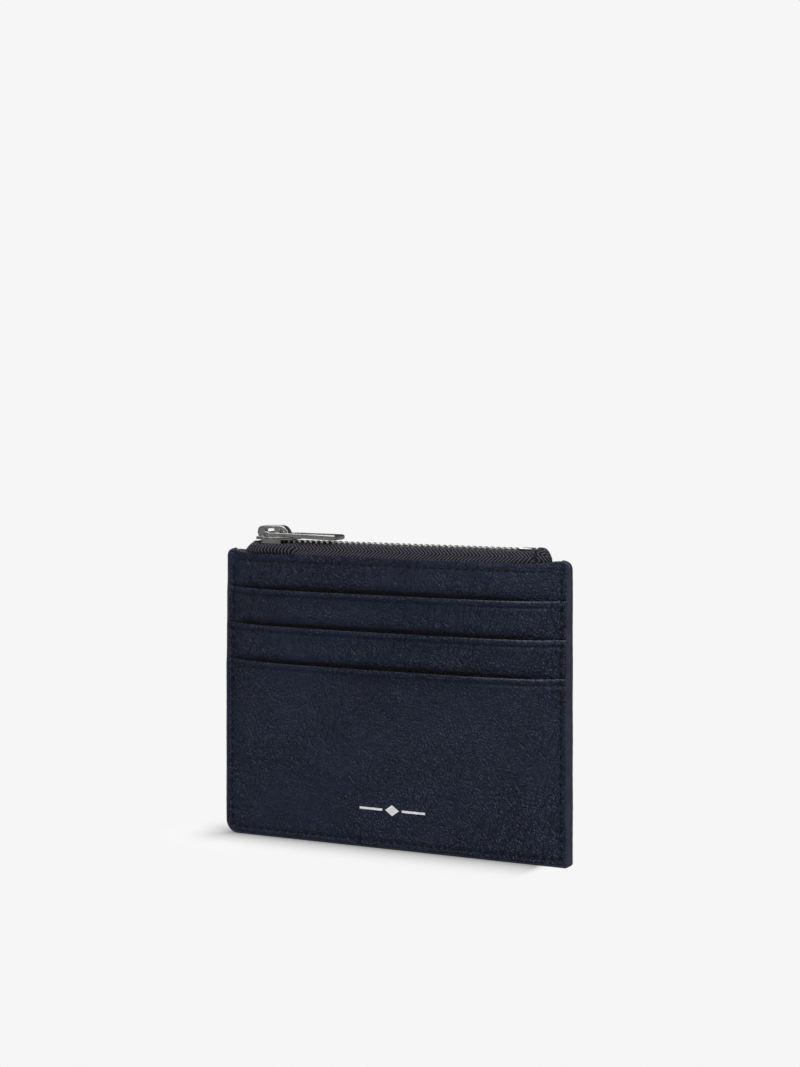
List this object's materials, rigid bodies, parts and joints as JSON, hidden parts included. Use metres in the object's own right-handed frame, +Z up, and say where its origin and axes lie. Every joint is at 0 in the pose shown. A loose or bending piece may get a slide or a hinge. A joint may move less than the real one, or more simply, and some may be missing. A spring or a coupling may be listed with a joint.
{
  "type": "card holder",
  "caption": "Slim upright leather card holder with three stepped front pockets and a zipped coin compartment, on a metal chain zip with a bar pull.",
  "frame": {"origin": "middle of the base edge, under the centre of the whole object", "axes": "+X along the zip towards its open end, -Y out of the card-pocket face, +Z up towards the zip"},
  "size_m": [0.118, 0.0096, 0.0979],
  "materials": {
    "leather": "fine pebbled grain, low sheen, dark navy",
    "edge_paint": "smooth satin edge paint, dark navy",
    "lining_cloth": "plain woven lining, dark",
    "thread": "tone-on-tone bonded thread",
    "foil": "pale matt foil",
    "zip_tape": "herringbone woven tape, dark",
    "nickel": "polished nickel plate"
  },
  "bodies": {
    "case": {"front_panel": "leather", "card_pocket_upper": "leather", "card_pocket_middle": "leather", "card_pocket_lower": "leather", "pocket_tail_upper": "lining_cloth", "pocket_tail_middle": "lining_cloth", "back_panel": "leather", "lining_front": "lining_cloth", "lining_rear": "lining_cloth", "edge_bead": "edge_paint", "seam_stitching_front": "thread", "seam_stitching_rear": "thread", "zip_stitching_front": "thread", "zip_stitching_rear": "thread", "foil_mark": "foil", "zip_end_left": "zip_tape", "zip_end_right": "zip_tape", "top_stops": "nickel", "bottom_stop": "nickel"},
    "front_lip": {"zip_tape_front": "zip_tape", "zip_teeth_front": "nickel"},
    "rear_lip": {"zip_tape_rear": "zip_tape", "zip_teeth_rear": "nickel"},
    "slider": {"slider_body": "nickel", "slider_bridge": "nickel"},
    "pull": {"pull_tab": "nickel"}
  },
  "joints": [
    {"name": "zip_slide", "type": "slide", "parent": "case", "child": "slider", "axis": [1, 0, 0], "range_m": [0, 0.0765], "deforming": ["zip_tape_front", "zip_teeth_front", "zip_tape_rear", "zip_teeth_rear"]},
    {"name": "pull_swing", "type": "hinge", "parent": "slider", "child": "pull", "pos_m": [-0.0432, 0, 0.0952], "axis": [0, -1, 0], "range_deg": [0, 175]},
    {"name": "front_lip_fold", "type": "hinge", "parent": "case", "child": "front_lip", "pos_m": [0, -0.00365, 0.0896], "axis": [1, 0, 0], "range_deg": [0, 41], "deforming": ["zip_tape_front", "zip_teeth_front"]},
    {"name": "rear_lip_fold", "type": "hinge", "parent": "case", "child": "rear_lip", "pos_m": [0, 0.00385, 0.0896], "axis": [-1, 0, 0], "range_deg": [0, 41], "deforming": ["zip_tape_rear", "zip_teeth_rear"]}
  ],
  "couplings": [
    {"joint": "front_lip_fold", "follows": "zip_slide", "rad_per_m": 9.1},
    {"joint": "rear_lip_fold", "follows": "zip_slide", "rad_per_m": 9.1}
  ]
}
